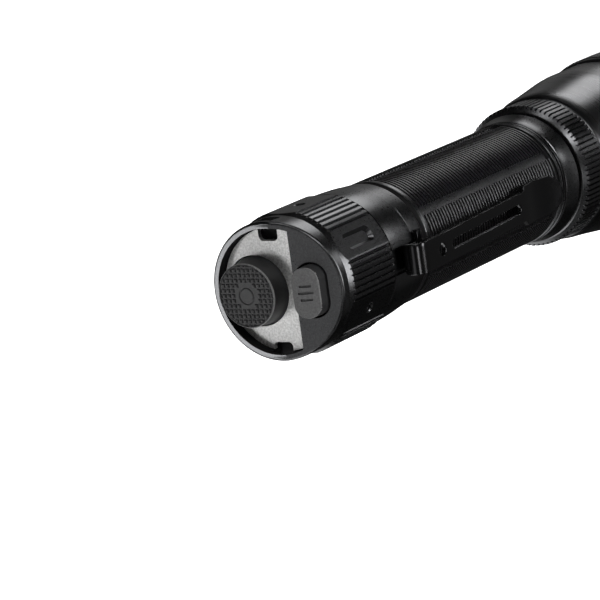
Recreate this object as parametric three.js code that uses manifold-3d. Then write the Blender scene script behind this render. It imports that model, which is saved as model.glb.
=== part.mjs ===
import * as THREE from "three";
import { mergeVertices } from "three/addons/utils/BufferGeometryUtils.js";
import Module from "manifold-3d";

// A tactical flashlight with two switches in its tail. Millimetres, +Z up. It stands on its bezel:
// Z = 0 is the bezel's face, the tail points up, and the pocket clip is on the -Y side.

const wasm = await Module();
wasm.setup();

// Driving dimensions. A depth is measured from the tail rim towards the bezel, along the axis.
const LENGTH = 144;
const ROUND = 36;
const BODY_RADIUS = 12.7;
const BORE_RADIUS = 9.7;
const NECK_RADIUS = 11.4;
const THREAD_RADIUS = 11.75;
const NECK_START = 23.4;
const BODY_START = 35.3;
const BODY_END = 90.2;

const RIM_RADIUS = 13.39;
const BEVEL_END = 5.5;
const RIB_RADIUS = 13.95;
const RIB_START = 6.8;
const RIB_END = 21.1;
const COLLAR_END = 34.9;
const RIB_GROUPS = 6;
const RIBS_IN_GROUP = 7;
const RIB_PITCH = 5;
const RIB_GROUP_ANGLE = 178.7;
const PANEL_ANGLE = 148.3;
const PANEL_DISTANCE = 13.59;

const RECESS_RADIUS = 12.13;
const RECESS_EDGE = 4.35;
const PLATE_DEPTH = 2.19;
const PLATE_THICKNESS = 1;
const SLANT_ANGLE = 16.2;
const SLANT_START = 1.03;
const WEB_TOP = 3.5;
const WEB_BOTTOM = 6;
const MODULE_RADIUS = 11.3;
const MODULE_END = 23.2;

const BUTTON_X = -0.3;
const BUTTON_Y = 4.8;
const BUTTON_BASE_RADIUS = 6.6;
const BUTTON_FACE_RADIUS = 6.1;
const BUTTON_TOP = -1.9;
const BUTTON_HOLE = 6.85;
const MODE_X = -0.15;
const MODE_Y = -7.65;
const MODE_WIDTH = 5.1;
const MODE_LENGTH = 9.7;
const MODE_HEIGHT = 2.2;
const MODE_STEM_Y = -7;
const SWITCH_END = 11.7;

const LANYARD_FROM = -1.3;
const LANYARD_TO = 2.9;
const LANYARD_INNER = 9.8;

const CLIP_WIDTH = 6;
const CLIP_THICKNESS = 0.9;
const CLIP_BEND_DEPTH = 26.9;
const CLIP_BEND_CENTRE = 15.45;
const CLIP_BEND_RADIUS = 2.1;
const CLIP_TAB_END = 34.6;
const CLIP_TAB_WIDTH = 4.6;
const CLIP_SLOT_FROM = 37;
const CLIP_SLOT_TO = 67.2;
const CLIP_SLOT_WIDTH = 1.9;
const CLIP_SHOULDER = 69.5;
const CLIP_END = 84;
const CHANNEL_WIDTH = 5.2;
const CHANNEL_FLOOR = 12.5;
const CLIP_SCREW_DEPTH = 32.8;

const CELL_RADIUS = 9.25;
const CELL_START = 24.4;
const CELL_END = 91.5;

const HEAD_START = 90.7;
const HEAD_GROOVE = 95.7;
const BAND_START = 97.9;
const BAND_END = 104.8;
const BAND_RADIUS = 15;
const HEAD_RADIUS = 17.5;
const HEAD_END = 133.2;
const BEZEL_RADIUS = 18.25;
const LENS_RADIUS = 15.4;
const LENS_DEPTH = 131.5;
const LENS_THICKNESS = 2.2;

const radians = THREE.MathUtils.degToRad;
const at = (depth) => LENGTH - depth;
const slantDepth = (y) => (-SLANT_START - y) * Math.tan(radians(SLANT_ANGLE));

// A closed geometry as a solid that can be cut and joined.
function solid(geometry) {
  const bare = geometry.clone();
  bare.deleteAttribute("normal");
  bare.deleteAttribute("uv");
  const merged = mergeVertices(bare, 1e-4);
  const triangles = [];
  const index = merged.index.array;
  for (let i = 0; i < index.length; i += 3) {
    const [a, b, c] = [index[i], index[i + 1], index[i + 2]];
    if (a !== b && b !== c && c !== a) triangles.push(a, b, c);
  }
  const vertProperties = new Float32Array(merged.attributes.position.array);
  const triVerts = new Uint32Array(triangles);
  return new wasm.Manifold(new wasm.Mesh({ numProp: 3, vertProperties, triVerts }));
}

function geometryOf(shape) {
  const { vertProperties, triVerts } = shape.getMesh();
  const geometry = new THREE.BufferGeometry();
  geometry.setAttribute("position", new THREE.BufferAttribute(vertProperties, 3));
  geometry.setIndex(new THREE.BufferAttribute(triVerts, 1));
  geometry.computeVertexNormals();
  return geometry;
}

// A turned solid. Its profile is a list of [radius, depth], from the bezel end up the outside.
function turned(profile, segments = ROUND) {
  const points = profile.map(([radius, depth]) => new THREE.Vector2(radius, at(depth)));
  return solid(new THREE.LatheGeometry(points, segments).rotateX(Math.PI / 2));
}

const turnedRing = (profile, segments) => turned([...profile, profile[0]], segments);

function disc(radius, from, to, x = 0, y = 0, segments = ROUND) {
  const height = to - from;
  const geometry = new THREE.CylinderGeometry(radius, radius, height, segments);
  geometry.rotateX(Math.PI / 2);
  geometry.translate(x, y, at(from + height / 2));
  return solid(geometry);
}

function box(x0, x1, y0, y1, from, to) {
  const geometry = new THREE.BoxGeometry(x1 - x0, y1 - y0, to - from);
  geometry.translate((x0 + x1) / 2, (y0 + y1) / 2, at((from + to) / 2));
  return solid(geometry);
}

// A prism that stands along Z, between two depths.
function prism(shape, from, to, curveSegments = 12) {
  const settings = { depth: to - from, bevelEnabled: false, curveSegments };
  return solid(new THREE.ExtrudeGeometry(shape, settings).translate(0, 0, at(to)));
}

// A prism whose outline lies in the plane of two directions, and which runs along a third.
function directedPrism(shape, length, across, up, along, origin, curveSegments = 10) {
  const settings = { depth: length, bevelEnabled: false, curveSegments };
  const frame = new THREE.Matrix4().makeBasis(across, up, along).setPosition(origin);
  return solid(new THREE.ExtrudeGeometry(shape, settings).applyMatrix4(frame));
}

const X = new THREE.Vector3(1, 0, 0);
const Y = new THREE.Vector3(0, 1, 0);
const Z = new THREE.Vector3(0, 0, 1);

// An outline in Y and Z, extruded across X.
function sidePrism(shape, width) {
  return directedPrism(shape, width, Y, Z, X, new THREE.Vector3(-width / 2, 0, 0));
}

// An outline in X and Z, extruded from one distance out on the -Y side to a further one.
function clipSidePrism(shape, near, far) {
  return directedPrism(shape, far - near, X, Z, Y.clone().negate(), new THREE.Vector3(0, -near, 0));
}

// An outline cut or raised on the outside of the barrel. Its angle is 0 at +Y and 90 at +X.
function radialPrism(shape, angle, near, far, depth) {
  const out = new THREE.Vector3(Math.sin(radians(angle)), Math.cos(radians(angle)), 0);
  const across = Z.clone().cross(out);
  const origin = out.clone().multiplyScalar(near).setZ(at(depth));
  return directedPrism(shape, far - near, across, Z, out, origin, 6);
}

// A V groove along the barrel: its depth below a radius, and half its width there.
function groove(angle, radius, depth, half, from, to) {
  const over = 4;
  const outline = polygon([[0, radius - depth], [half * over, radius + depth * (over - 1)],
    [-half * over, radius + depth * (over - 1)]]);
  return prism(outline, from, to).rotate([0, 0, -angle]);
}

// A long hole's outline, length along X.
function stadium(length, width) {
  const radius = width / 2;
  const reach = length / 2 - radius;
  const shape = new THREE.Shape();
  shape.absarc(reach, 0, radius, -Math.PI / 2, Math.PI / 2, false);
  shape.absarc(-reach, 0, radius, Math.PI / 2, (Math.PI * 3) / 2, false);
  shape.closePath();
  return shape;
}

// An outline drawn around the origin, turned upright in X and Z at a depth along the axis.
function upright(shape, depth) {
  return polygon(shape.extractPoints(8).shape.map((point) => [point.y, at(depth) + point.x]));
}

const circle = (radius) => new THREE.Shape().absarc(0, 0, radius, 0, 2 * Math.PI, false);

function polygon(points) {
  return new THREE.Shape(points.map(([x, y]) => new THREE.Vector2(x, y)));
}

function rectangle(x0, x1, y0, y1) {
  return polygon([[x0, y0], [x1, y0], [x1, y1], [x0, y1]]);
}

// A round disc's outline with its -Y side cut straight.
function dShape(radius, edge) {
  const angle = Math.asin(edge / radius);
  const shape = new THREE.Shape();
  shape.absarc(0, 0, radius, -angle, Math.PI + angle, false);
  shape.closePath();
  return shape;
}

// A round wire wound along the axis, as a coil spring.
function coil(radiusStart, radiusEnd, wire, from, to, turns) {
  const path = new THREE.Curve();
  path.getPoint = (t, target = new THREE.Vector3()) => {
    const radius = radiusStart + (radiusEnd - radiusStart) * t;
    const angle = 2 * Math.PI * turns * t;
    return target.set(radius * Math.cos(angle), radius * Math.sin(angle), at(from + (to - from) * t));
  };
  const section = polygon(regularPolygon(wire / 2, 5));
  const settings = { steps: turns * 10, extrudePath: path };
  return solid(new THREE.ExtrudeGeometry(section, settings));
}

function regularPolygon(radius, sides) {
  const points = [];
  for (let i = 0; i < sides; i++) {
    const angle = (2 * Math.PI * i) / sides;
    points.push([radius * Math.cos(angle), radius * Math.sin(angle)]);
  }
  return points;
}

function oRing(radius, section, depth) {
  const profile = [];
  for (const [across, along] of regularPolygon(section / 2, 6)) {
    profile.push([radius + across, depth - along]);
  }
  return turnedRing(profile);
}

// Tail

function tailcapHousing() {
  let housing = turnedRing([
    [THREAD_RADIUS, COLLAR_END],
    [12.5, COLLAR_END],
    [12.85, COLLAR_END - 0.4],
    [13.15, 30.2],
    [13.3, 29.9],
    [13.62, RIB_END + 0.5],
    [RIB_RADIUS, RIB_END],
    [RIB_RADIUS, RIB_START],
    [RIM_RADIUS, BEVEL_END],
    [RIM_RADIUS, 0.4],
    [RIM_RADIUS - 0.5, 0],
    [5, 0],
    [5, WEB_BOTTOM],
    [MODULE_RADIUS, WEB_BOTTOM],
    [MODULE_RADIUS, MODULE_END],
    [THREAD_RADIUS, MODULE_END],
  ]);
  housing = housing.add(disc(5.5, 0, WEB_BOTTOM));
  housing = housing.subtract(slantedCut());
  housing = housing.subtract(prism(dShape(RECESS_RADIUS, RECESS_EDGE), -1, WEB_TOP, 24));
  housing = housing.subtract(disc(BUTTON_HOLE, -1, WEB_BOTTOM + 1, BUTTON_X, BUTTON_Y));
  housing = housing.subtract(modePrism(MODE_WIDTH + 0.6, MODE_LENGTH + 0.6, -1, WEB_BOTTOM + 1));
  housing = housing.subtract(lanyardSlots(1.1, 4.4));
  return housing.subtract(ribFlutes()).subtract(gripPanels()).subtract(clipChannel());
}

// The two openings for a lanyard, through the wall at +X and -X.
function lanyardSlots(from, to) {
  const right = box(LANYARD_INNER, 15, LANYARD_FROM, LANYARD_TO, from, to);
  const left = box(-15, -LANYARD_INNER, LANYARD_FROM, LANYARD_TO, from, to);
  return right.add(left);
}

// The half of the tail under the thumb is cut at a slant.
function slantedCut() {
  const far = -20;
  return sidePrism(polygon([
    [-SLANT_START, at(0)],
    [-SLANT_START, at(-3)],
    [far, at(-3)],
    [far, at(slantDepth(far))],
  ]), 40);
}

// A prism with the mode switch's long outline, standing along the axis.
function modePrism(width, length, from, to) {
  return prism(stadium(length, width), from, to, 8).translate([MODE_X, MODE_Y, 0]);
}

function ribFlutes() {
  const flutes = [];
  for (let group = 0; group < RIB_GROUPS; group++) {
    for (let rib = 0; rib < RIBS_IN_GROUP; rib++) {
      const step = rib - (RIBS_IN_GROUP - 1) / 2;
      const angle = RIB_GROUP_ANGLE + (group * 360) / RIB_GROUPS + step * RIB_PITCH;
      flutes.push(groove(angle, RIB_RADIUS, 0.4, 0.35, RIB_START - 1, RIB_END + 1));
    }
  }
  return wasm.Manifold.union(flutes);
}

// Between the groups of ribs lie flat panels. One has a long pocket, the others a round dimple.
function gripPanels() {
  const middle = 13.6;
  const cuts = [];
  for (let panel = 0; panel < RIB_GROUPS; panel++) {
    const flat = box(-4, 4, PANEL_DISTANCE, 16, BEVEL_END, RIB_END);
    cuts.push(flat.rotate([0, 0, -PANEL_ANGLE - panel * 60]));
  }
  cuts.push(radialPrism(upright(stadium(9, 2.7), LENGTH), PANEL_ANGLE, 13.05, 15, middle));
  for (let panel = 1; panel < RIB_GROUPS; panel++) {
    cuts.push(radialPrism(circle(1.15), PANEL_ANGLE + panel * 60, 13.05, 15, middle));
  }
  return wasm.Manifold.union(cuts);
}

// The clip's tab lies in a flat channel along the collar, with a cross slot for its two ears.
function clipChannel() {
  const half = CHANNEL_WIDTH / 2;
  const channel = clipSidePrism(
    rectangle(-half, half, at(COLLAR_END + 1), at(RIB_END + 0.7)), CHANNEL_FLOOR, 15);
  const ears = clipSidePrism(rectangle(-4.8, 4.8, at(32.3), at(30.3)), CHANNEL_FLOOR + 0.1, 15);
  const screwHole = clipSidePrism(upright(circle(1.1), CLIP_SCREW_DEPTH), 11.95, 13);
  return channel.add(ears).add(screwHole);
}

function switchPlate() {
  const from = PLATE_DEPTH;
  const to = PLATE_DEPTH + PLATE_THICKNESS;
  const outline = prism(dShape(RECESS_RADIUS - 0.2, RECESS_EDGE - 0.2), from, to, 24);
  const plate = outline.subtract(disc(BUTTON_HOLE, from - 1, to + 1, BUTTON_X, BUTTON_Y));
  return plate.subtract(lanyardSlots(from - 1, to + 1));
}

// The tactical switch's rubber boot, hollow underneath, and the plunger inside it.
function tacticalBoot() {
  return turned([
    [0, 1.4],
    [5.2, 1.4],
    [5.2, 3.1],
    [BUTTON_BASE_RADIUS, 3.1],
    [BUTTON_BASE_RADIUS, PLATE_DEPTH],
    [BUTTON_FACE_RADIUS, BUTTON_TOP + 0.3],
    [BUTTON_FACE_RADIUS - 0.3, BUTTON_TOP],
    [0, BUTTON_TOP],
  ]).translate([BUTTON_X, BUTTON_Y, 0]);
}

function tacticalPlunger() {
  const post = disc(4.9, 1.7, 7.5, BUTTON_X, BUTTON_Y, 32);
  const lugs = box(-8.4, 8.4, BUTTON_Y - 1.8, BUTTON_Y + 1.8, 6.4, 7.5);
  return post.add(lugs);
}

const tacticalStem = () => disc(1.6, 7.8, 9.7, BUTTON_X, BUTTON_Y, 16);

// A switch is a square block, with a round pit that its stem goes down into.
function switchBody(x, y, half, from, pitRadius) {
  const body = box(x - half, x + half, y - half, y + half, from, SWITCH_END);
  return body.subtract(disc(pitRadius, from - 1, SWITCH_END - 0.3, x, y, 16));
}

const tacticalSwitch = () => switchBody(BUTTON_X, BUTTON_Y, 3, 9.5, 1.9);

const modeSwitch = () => switchBody(MODE_X, MODE_STEM_Y, 2.25, 8.6, 1.5);

// The mode switch's cap stands on the slanted face, with its own face parallel to it.
function modeButton() {
  const cap = modePrism(MODE_WIDTH, MODE_LENGTH, -4, 6.4);
  const flange = modePrism(6.4, 10.6, 6.3, 7.1);
  const far = -20;
  const above = sidePrism(polygon([
    [far, at(slantDepth(far) - MODE_HEIGHT)],
    [5, at(slantDepth(5) - MODE_HEIGHT)],
    [5, at(-12)],
    [far, at(-12)],
  ]), 40);
  return cap.subtract(above).add(flange);
}

const modeStem = () => disc(1.2, 7.4, 9.8, MODE_X, MODE_STEM_Y, 16);

const switchBoard = () => disc(10.9, 12, 13.2);

function switchCarrier() {
  return turnedRing([
    [9.6, 20.6],
    [11, 20.6],
    [11, 13.5],
    [3.2, 13.5],
    [3.2, 14.9],
    [9.6, 14.9],
  ]);
}

const springSeat = () => turned([[0, 16.3], [5.6, 16.3], [5.6, 15.2], [0, 15.2]]);

const tailSpring = () => coil(4.6, 3.4, 0.9, 17.1, 23.4, 5);

function retainingRing() {
  const ring = turnedRing([[7.4, 23], [11.05, 23], [11.05, 20.9], [7.4, 20.9]]);
  return ring.subtract(box(-12, 12, -0.9, 0.9, 22.1, 24));
}

// Clip

// The clip's spring steel strip seen from the side, as [depth, distance out] of its middle.
function clipMiddleLine() {
  const line = [[CLIP_TAB_END, CLIP_BEND_CENTRE - CLIP_BEND_RADIUS]];
  const bendSteps = 10;
  for (let i = 0; i <= bendSteps; i++) {
    const angle = Math.PI * (1.5 - i / bendSteps);
    const depth = CLIP_BEND_DEPTH + CLIP_BEND_RADIUS * Math.cos(angle);
    line.push([depth, CLIP_BEND_CENTRE + CLIP_BEND_RADIUS * Math.sin(angle)]);
  }
  const tip = new THREE.SplineCurve([
    new THREE.Vector2(66, 15.4),
    new THREE.Vector2(CLIP_SHOULDER, 15.18),
    new THREE.Vector2(74.6, 14.6),
    new THREE.Vector2(79.4, 14.95),
    new THREE.Vector2(CLIP_END, 16.6),
  ]);
  for (const point of tip.getPoints(12)) line.push([point.x, point.y]);
  return line;
}

// A strip of even thickness along a line of points.
function stripOutline(line, thickness) {
  const [left, right] = [[], []];
  line.forEach(([depth, out], i) => {
    const before = line[Math.max(i - 1, 0)];
    const after = line[Math.min(i + 1, line.length - 1)];
    const length = Math.hypot(after[0] - before[0], after[1] - before[1]);
    const along = [(after[0] - before[0]) / length, (after[1] - before[1]) / length];
    const half = thickness / 2;
    left.push([-(out + along[0] * half), at(depth - along[1] * half)]);
    right.push([-(out - along[0] * half), at(depth + along[1] * half)]);
  });
  return polygon([...left, ...right.reverse()]);
}

function clipBladeOutline() {
  const half = CLIP_WIDTH / 2;
  const paddle = 4.15;
  const shape = new THREE.Shape();
  shape.moveTo(-half, at(20));
  shape.lineTo(-half, at(CLIP_SHOULDER - 0.6));
  shape.lineTo(-paddle, at(CLIP_SHOULDER + 0.3));
  shape.lineTo(-paddle, at(CLIP_END - 4.6));
  shape.bezierCurveTo(-paddle, at(CLIP_END - 1.4), -2, at(CLIP_END + 0.1), 0, at(CLIP_END + 0.1));
  shape.bezierCurveTo(2, at(CLIP_END + 0.1), paddle, at(CLIP_END - 1.4), paddle, at(CLIP_END - 4.6));
  shape.lineTo(paddle, at(CLIP_SHOULDER + 0.3));
  shape.lineTo(half, at(CLIP_SHOULDER - 0.6));
  shape.lineTo(half, at(20));
  shape.closePath();
  return shape;
}

function clipTabOutline() {
  const half = CLIP_TAB_WIDTH / 2;
  const ear = 4.4;
  return polygon([
    [-half, at(20)], [-half, at(30.6)], [-ear, at(30.6)], [-ear, at(32)], [-half, at(32)],
    [-half, at(CLIP_TAB_END + 1)], [half, at(CLIP_TAB_END + 1)], [half, at(32)], [ear, at(32)],
    [ear, at(30.6)], [half, at(30.6)], [half, at(20)],
  ]);
}

// The clip is one strip of spring steel: a tab, a bend, and a blade with a paddle at its end.
function pocketClip() {
  const strip = sidePrism(stripOutline(clipMiddleLine(), CLIP_THICKNESS), 12);
  const split = 14;
  const blade = strip.intersect(clipSidePrism(clipBladeOutline(), split, 25));
  const tab = strip.intersect(clipSidePrism(clipTabOutline(), 10, split + 0.05));
  const slotMiddle = (CLIP_SLOT_FROM + CLIP_SLOT_TO) / 2;
  const slot = stadium(CLIP_SLOT_TO - CLIP_SLOT_FROM, CLIP_SLOT_WIDTH);
  return blade.add(tab)
    .subtract(clipSidePrism(upright(slot, slotMiddle), split, 25))
    .subtract(clipSidePrism(upright(circle(1.25), CLIP_SCREW_DEPTH), split + 1, 25))
    .subtract(clipSidePrism(upright(circle(1), CLIP_SCREW_DEPTH), 10, split + 1));
}

// The clip's screw: a low head on the tab, and a shank into the collar.
function clipScrew() {
  const head = clipSidePrism(upright(circle(1.7), CLIP_SCREW_DEPTH), 14.05, 14.9);
  const shank = clipSidePrism(upright(circle(0.75), CLIP_SCREW_DEPTH), 12.2, 14.1);
  const key = polygon(regularPolygon(0.75, 6));
  const socket = clipSidePrism(upright(key, CLIP_SCREW_DEPTH), 14.5, 16);
  return head.add(shank).subtract(socket);
}

// Body

function bodyTube() {
  return turnedRing([
    [BORE_RADIUS, 97.6],
    [NECK_RADIUS - 0.4, 97.6],
    [NECK_RADIUS, 97.2],
    [NECK_RADIUS, 95.4],
    [NECK_RADIUS - 0.75, 95.3],
    [NECK_RADIUS - 0.75, 94.1],
    [NECK_RADIUS, 94],
    [NECK_RADIUS, BODY_END],
    [12.9, BODY_END],
    [12.9, 89.8],
    [12.55, 89],
    [BODY_RADIUS, 88.6],
    [BODY_RADIUS, 36.5],
    [12.1, BODY_START],
    [NECK_RADIUS, BODY_START],
    [NECK_RADIUS, 34],
    [NECK_RADIUS - 0.75, 33.9],
    [NECK_RADIUS - 0.75, 32.7],
    [NECK_RADIUS, 32.6],
    [NECK_RADIUS, NECK_START + 0.4],
    [NECK_RADIUS - 0.4, NECK_START],
    [BORE_RADIUS, NECK_START],
  ]);
}

const tailORing = () => oRing(NECK_RADIUS - 0.2, 0.84, 33.3);

const headORing = () => oRing(NECK_RADIUS - 0.2, 0.84, 94.7);

function batteryCell() {
  return turned([
    [0, CELL_END - 2.2],
    [CELL_RADIUS - 0.7, CELL_END - 2.2],
    [CELL_RADIUS, CELL_END - 2.9],
    [CELL_RADIUS, CELL_START + 0.5],
    [CELL_RADIUS - 0.4, CELL_START],
    [5, CELL_START],
    [5, CELL_START + 0.8],
    [0, CELL_START + 0.8],
  ]);
}

const cellNegativePlate = () => disc(4.7, CELL_START - 0.3, CELL_START + 0.5);

function cellPositiveCap() {
  return turned([
    [0, CELL_END],
    [2.9, CELL_END],
    [3.1, CELL_END - 0.3],
    [3.1, CELL_END - 1.4],
    [4.4, CELL_END - 1.4],
    [4.4, CELL_END - 1.9],
    [0, CELL_END - 1.9],
  ]);
}

// Head

function headHousing() {
  return turnedRing([
    [16.6, HEAD_END],
    [17.1, HEAD_END],
    [HEAD_RADIUS, HEAD_END - 0.5],
    [HEAD_RADIUS, 123],
    [17.1, 118.6],
    [16.3, 112],
    [15.75, 106],
    [15.7, 105.2],
    [BAND_RADIUS, BAND_END],
    [BAND_RADIUS, BAND_START],
    [13.9, HEAD_GROOVE + 1.2],
    [12.4, HEAD_GROOVE + 0.9],
    [12.4, HEAD_GROOVE + 0.1],
    [13.7, HEAD_GROOVE],
    [12.95, HEAD_START + 1],
    [12.3, HEAD_START + 0.9],
    [12.3, HEAD_START + 0.4],
    [12.85, HEAD_START + 0.3],
    [12.85, HEAD_START],
    [THREAD_RADIUS, HEAD_START],
    [THREAD_RADIUS, 98.2],
    [10.8, 98.2],
    [10.8, 104.4],
    [3, 104.4],
    [3, 110.2],
    [9.6, 110.2],
    [9.6, 112.4],
    [16, 127.4],
    [16.6, 127.4],
  ]);
}

// The driver board sits on the shelf behind the lamp, held by a slotted ring.
const driverBoard = () => disc(10.4, 102.8, 104.1);

function driverRing() {
  const ring = turnedRing([[8.4, 102.5], [10.5, 102.5], [10.5, 100.8], [8.4, 100.8]]);
  return ring.subtract(box(-12, 12, -0.8, 0.8, 100, 101.6));
}

const positiveSpring = () => coil(2.4, 3.6, 0.8, 92.2, 102.1, 5);

function ledBoard() {
  const board = disc(9.3, 110.5, 111.9);
  return board.subtract(disc(0.9, 109, 113, 7.2, 0, 16)).subtract(disc(0.9, 109, 113, -7.2, 0, 16));
}

function ledEmitter() {
  const base = box(-2.5, 2.5, -2.5, 2.5, 112.1, 112.9);
  const dome = turned([[0, 114.2], [0.9, 114.1], [1.6, 113.7], [2, 113.1], [2, 112.8], [0, 112.8]], 24);
  return base.add(dome);
}

const ledSpacer = () => disc(4.9, 112.1, 113.4).subtract(box(-2.8, 2.8, -2.8, 2.8, 111, 115));

// A parabolic bowl of even wall, with its narrow end around the emitter.
function reflector() {
  const rows = 6;
  const focus = 1.75;
  const [back, front] = [113.7, 131.2];
  const inside = [];
  const outside = [];
  for (let i = 0; i <= rows; i++) {
    const depth = back + ((front - back) * i) / rows;
    const radius = Math.sqrt(4 * focus * (depth - back + 1.7));
    inside.push([radius * 1.2, depth]);
    outside.unshift([radius * 1.2 + 0.9, depth]);
  }
  const rim = [[LENS_RADIUS, front], [LENS_RADIUS, front - 0.9]];
  return turnedRing([...rim, ...outside.slice(1), ...inside]);
}

const lens = () => disc(LENS_RADIUS - 0.1, LENS_DEPTH, LENS_DEPTH + LENS_THICKNESS);

const lensGasket = () => oRing(14.75, 1, 134.5);

// The bezel holds the lens, and its face has six shallow scallops.
function bezelRing() {
  let bezel = turnedRing([
    [15.6, LENGTH],
    [17.6, LENGTH],
    [BEZEL_RADIUS, LENGTH - 1],
    [BEZEL_RADIUS, 134.8],
    [17.4, HEAD_END + 0.3],
    [16.3, HEAD_END + 0.3],
    [16.3, 128.4],
    [15.65, 128.4],
    [15.65, 135.2],
    [14.6, 135.2],
    [14.6, 136.6],
  ]);
  const scallop = circle(4.2);
  for (let i = 0; i < 6; i++) {
    bezel = bezel.subtract(radialPrism(scallop, i * 60, 10, 20, LENGTH + 2.5));
  }
  return bezel;
}

// Each part's name, its solid, and its colour, roughness and metalness.
const parts = [
  ["tailcap_housing", tailcapHousing(), 0x3c3d3f, 0.5, 0.7],
  ["switch_plate", switchPlate(), 0xc9cac8, 0.38, 1],
  ["tactical_boot", tacticalBoot(), 0x2b2b2c, 0.75, 0],
  ["tactical_plunger", tacticalPlunger(), 0x55565a, 0.6, 0],
  ["tactical_switch_stem", tacticalStem(), 0xe6e2d8, 0.5, 0],
  ["tactical_switch", tacticalSwitch(), 0x1c1c1e, 0.5, 0],
  ["mode_button", modeButton(), 0x5e5f61, 0.7, 0],
  ["mode_switch_stem", modeStem(), 0xe6e2d8, 0.5, 0],
  ["mode_switch", modeSwitch(), 0x1c1c1e, 0.5, 0],
  ["switch_board", switchBoard(), 0x1f5a3a, 0.45, 0],
  ["switch_carrier", switchCarrier(), 0x202022, 0.6, 0],
  ["tail_spring_seat", springSeat(), 0xc9a04a, 0.3, 1],
  ["tail_spring", tailSpring(), 0xd0a850, 0.3, 1],
  ["switch_retaining_ring", retainingRing(), 0xb9babb, 0.4, 1],
  ["pocket_clip", pocketClip(), 0x17181a, 0.35, 0.8],
  ["clip_screw", clipScrew(), 0x202022, 0.35, 1],
  ["body_tube", bodyTube(), 0x3c3d3f, 0.5, 0.7],
  ["tail_o_ring", tailORing(), 0x111111, 0.6, 0],
  ["head_o_ring", headORing(), 0x111111, 0.6, 0],
  ["battery_cell", batteryCell(), 0x2d4f7a, 0.5, 0],
  ["cell_negative_plate", cellNegativePlate(), 0xb9babb, 0.35, 1],
  ["cell_positive_cap", cellPositiveCap(), 0xb9babb, 0.35, 1],
  ["head_housing", headHousing(), 0x3c3d3f, 0.5, 0.7],
  ["positive_spring", positiveSpring(), 0xd0a850, 0.3, 1],
  ["driver_ring", driverRing(), 0xc9a04a, 0.4, 1],
  ["driver_board", driverBoard(), 0x1f5a3a, 0.45, 0],
  ["led_board", ledBoard(), 0xd8d6d0, 0.4, 0.6],
  ["led_emitter", ledEmitter(), 0xe8d878, 0.2, 0],
  ["led_spacer", ledSpacer(), 0xf2f2f0, 0.6, 0],
  ["reflector", reflector(), 0xd9dadb, 0.08, 1],
  ["lens", lens(), 0xdfe8ea, 0.03, 0],
  ["lens_gasket", lensGasket(), 0x111111, 0.6, 0],
  ["bezel_ring", bezelRing(), 0xa9aaab, 0.3, 1],
];

const flashlight = new THREE.Group();
for (const [name, shape, color, roughness, metalness] of parts) {
  const material = new THREE.MeshStandardMaterial({ color, roughness, metalness });
  const mesh = new THREE.Mesh(geometryOf(shape), material);
  mesh.name = name;
  flashlight.add(mesh);
}

export default flashlight;
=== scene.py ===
import math

import bmesh
import bpy
import numpy as np
from mathutils import Matrix, Vector


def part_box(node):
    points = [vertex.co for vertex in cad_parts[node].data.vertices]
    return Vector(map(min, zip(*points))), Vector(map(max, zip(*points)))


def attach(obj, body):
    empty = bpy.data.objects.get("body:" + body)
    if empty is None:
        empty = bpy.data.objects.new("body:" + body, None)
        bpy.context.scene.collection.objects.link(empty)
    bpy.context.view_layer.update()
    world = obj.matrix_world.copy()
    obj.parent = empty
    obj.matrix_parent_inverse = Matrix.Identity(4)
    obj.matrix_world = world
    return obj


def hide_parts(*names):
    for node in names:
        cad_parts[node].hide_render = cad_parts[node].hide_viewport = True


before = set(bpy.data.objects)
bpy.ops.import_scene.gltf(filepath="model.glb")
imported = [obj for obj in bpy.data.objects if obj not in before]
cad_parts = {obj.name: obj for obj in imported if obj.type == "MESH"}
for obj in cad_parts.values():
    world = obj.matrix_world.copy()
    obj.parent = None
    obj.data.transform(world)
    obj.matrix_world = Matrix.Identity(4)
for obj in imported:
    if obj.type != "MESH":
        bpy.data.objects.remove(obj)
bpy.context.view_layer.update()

# A tactical flashlight that stands on its bezel, tail up. Lengths below are in millimetres, and a
# depth is measured from the tail rim towards the bezel. Angles are 0 at +Y and 90 at +X.
MM = 0.001
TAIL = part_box("tailcap_housing")[1].z
WELD = 2e-7

# The barrel: rings of grooves, broken by six smooth strips, and a thread under the tailcap.
BODY_RADIUS = 12.7
GROOVE_PITCH = 1.014
GROOVES = 50
GROOVES_START = 37.55
GROOVES_END = GROOVES_START + GROOVES * GROOVE_PITCH
GROOVE_DEPTH = 0.5
STRIP_ANGLE = 149.25
STRIP_HALF = 4.0
THREAD_RADIUS = 11.4
THREAD_DEPTH = 0.5

# The tailcap: a rim, a bevel, a band with six flats and six groups of seven flutes, and a collar.
RIM_RADIUS = 13.39
BEVEL_END = 5.5
RIB_RADIUS = 13.95
RIB_GROUP_ANGLE = 178.7
RIB_PITCH = 5.0
FLAT_ANGLE = 148.3
FLAT_DISTANCE = 13.59
CHANNEL_ANGLE = 180

# The tail's end: a slanted half, a recess with a plate, two switches and two lanyard slots.
SLANT = math.tan(math.radians(16.2))
SLANT_START = 1.03
RECESS_RADIUS = 12.13
PLATE_RADIUS = 11.95
PLATE_DEPTH = 2.19
PLATE_THICKNESS = 1.0
BUTTON = (-0.3, 4.8)
BUTTON_HOLE = 6.85
LANYARD_Y = (-1.3, 2.9)
LANYARD_RIGHT = 9.3
LANYARD_LEFT = -10.2
LANYARD_CORNER = 0.9
MODE = (-0.15, -7.6)
MODE_HEIGHT = 2.3

# The clip: the depths of its screw, its start, its bend and its end, and how finely it bends.
CLIP_SCREW = 32.8
CLIP_START = 34.6
CLIP_BEND = 26.9
CLIP_END = 83.4
BEND_POINTS = 25

# The head: its flutes, and the scallops of its bezel.
FLUTES = 84
FLUTED_START = 96.82
FLUTED_END = 105.02
SCALLOP_DEPTH = 146.5
SCALLOP_RADIUS = 4.2


def height(depth):
    return TAIL - depth * MM


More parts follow.
